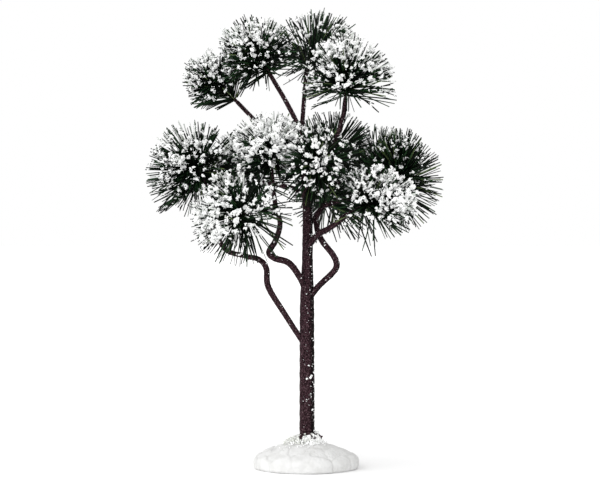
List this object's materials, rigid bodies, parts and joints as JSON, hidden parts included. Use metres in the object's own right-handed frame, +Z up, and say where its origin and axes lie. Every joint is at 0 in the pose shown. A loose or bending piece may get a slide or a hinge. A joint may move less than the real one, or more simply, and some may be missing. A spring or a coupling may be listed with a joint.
{
  "type": "model mountain pine tree",
  "caption": "Model mountain pine: a straight dark trunk and bent wire boughs with round tufts of long snow-dusted green needles, on a round plaster snow mound.",
  "frame": {"origin": "centre of the flat underside of the snow mound", "axes": "+Z up along the trunk; the front faces -Y, so +X is to the right as the tree is seen from its front"},
  "size_m": [0.1488, 0.112, 0.2327],
  "materials": {
    "snow_plaster": "matte",
    "loose_snow": "matte",
    "wrapped_bark": "matte",
    "needles": "satin"
  },
  "bodies": {
    "root": {"snow_mound": "snow_plaster", "snow_collar": "loose_snow", "trunk": "wrapped_bark", "bough_low_left_lower": "wrapped_bark", "bough_low_left_outer": "wrapped_bark", "bough_mid_left_lower": "wrapped_bark", "bough_mid_left_upper": "wrapped_bark", "bough_low_right_lower": "wrapped_bark", "bough_low_right_middle": "wrapped_bark", "bough_low_right_outer": "wrapped_bark", "bough_front_left": "wrapped_bark", "bough_front_right": "wrapped_bark", "bough_front_centre": "wrapped_bark", "bough_back_centre": "wrapped_bark", "bough_upper_left": "wrapped_bark", "bough_top": "wrapped_bark", "bough_top_left": "wrapped_bark", "bough_upper_right": "wrapped_bark", "bough_centre_right": "wrapped_bark", "bough_back_left": "wrapped_bark", "bough_back_right": "wrapped_bark", "tuft_top_left": "needles", "tuft_upper_left": "needles", "tuft_top": "needles", "tuft_upper_right": "needles", "tuft_low_left": "needles", "tuft_front_left": "needles", "tuft_mid_left": "needles", "tuft_centre_right": "needles", "tuft_front_centre": "needles", "tuft_front_right": "needles", "tuft_low_right": "needles", "tuft_back_centre": "needles", "tuft_back_left": "needles", "tuft_back_right": "needles"}
  },
  "joints": []
}
